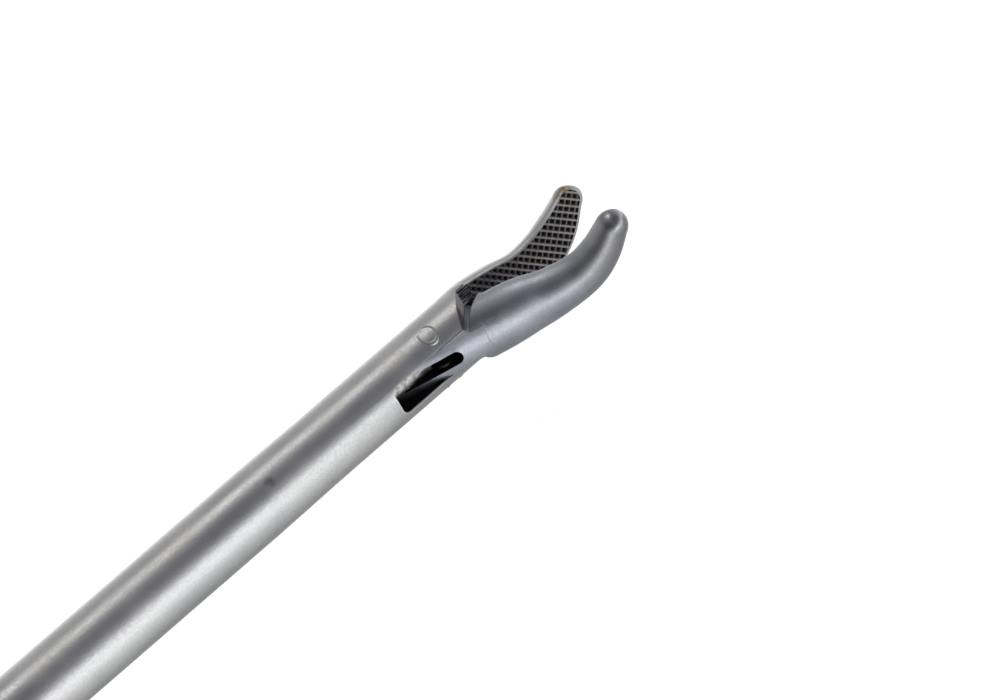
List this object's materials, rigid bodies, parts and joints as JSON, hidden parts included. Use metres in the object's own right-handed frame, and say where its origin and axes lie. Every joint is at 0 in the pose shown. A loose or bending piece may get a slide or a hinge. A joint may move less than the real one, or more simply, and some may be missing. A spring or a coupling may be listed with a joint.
{
  "type": "laparoscopic needle holder",
  "caption": "Needle holder for keyhole surgery: curved jaws with knurled carbide faces, a slim satin steel shaft and an in-line squeeze handle with a ratchet.",
  "frame": {"origin": "on the shaft axis at the front face of the handle, where the working length begins", "axes": "+X along the shaft towards the jaw tip, +Y towards the fixed jaw and away from the lever, +Z along the jaw hinge towards the side that the tips curve to; lying at rest, -Z is down"},
  "size_m": [0.478, 0.0573, 0.014],
  "materials": {
    "housing_steel": "blasted satin",
    "jaw_steel": "blasted satin",
    "tube_steel": "drawn and satin polished",
    "carbide": "sintered carbide, ground knurl",
    "machined_steel": "turned",
    "spring_steel": "drawn wire",
    "seal_rubber": "moulded",
    "handle_steel": "satin brushed"
  },
  "bodies": {
    "grip_and_shaft": {"jaw_housing": "housing_steel", "fixed_jaw_insert": "carbide", "jaw_pivot_stubs": "machined_steel", "shaft_tube": "tube_steel", "shaft_ferrule": "machined_steel", "collar_nut": "handle_steel", "rod_seal": "seal_rubber", "seal_gland": "machined_steel", "return_spring": "spring_steel", "handle_body": "handle_steel", "lever_pivot_screw": "machined_steel", "pawl_pin": "machined_steel", "pawl_spring": "spring_steel"},
    "squeeze_lever": {"lever": "handle_steel", "yoke_pins": "machined_steel", "ratchet_rack": "machined_steel", "rack_pins": "machined_steel"},
    "drive_rod": {"pull_rod": "machined_steel", "drive_pin": "machined_steel", "rod_spool": "machined_steel", "spool_nut": "machined_steel"},
    "upper_jaw": {"moving_jaw": "jaw_steel", "moving_jaw_insert": "carbide"},
    "lock_pawl": {"ratchet_pawl": "machined_steel"}
  },
  "joints": [
    {"name": "lever_squeeze", "type": "hinge", "parent": "grip_and_shaft", "child": "squeeze_lever", "pos_m": [-0.038, 0.007, 0], "axis": [0, 0, -1], "range_deg": [0, 16.43], "stiffness_Nm_per_rad": 0.5, "springref_deg": -10},
    {"name": "rod_pull", "type": "slide", "parent": "grip_and_shaft", "child": "drive_rod", "axis": [-1, 0, 0], "range_m": [0, 0.002], "deforming": ["return_spring"]},
    {"name": "jaw_close", "type": "hinge", "parent": "grip_and_shaft", "child": "upper_jaw", "pos_m": [0.31515, -0.00126, 0], "axis": [0, 0, 1], "range_deg": [0, 25.5]},
    {"name": "pawl_engage", "type": "hinge", "parent": "grip_and_shaft", "child": "lock_pawl", "pos_m": [-0.1266, -0.0031, 0], "axis": [0, 0, -1], "range_deg": [0, 8]}
  ],
  "couplings": [
    {"joint": "rod_pull", "follows": "lever_squeeze", "m_per_rad": 0.0069761},
    {"joint": "jaw_close", "follows": "lever_squeeze", "ratio": 1.5524}
  ]
}
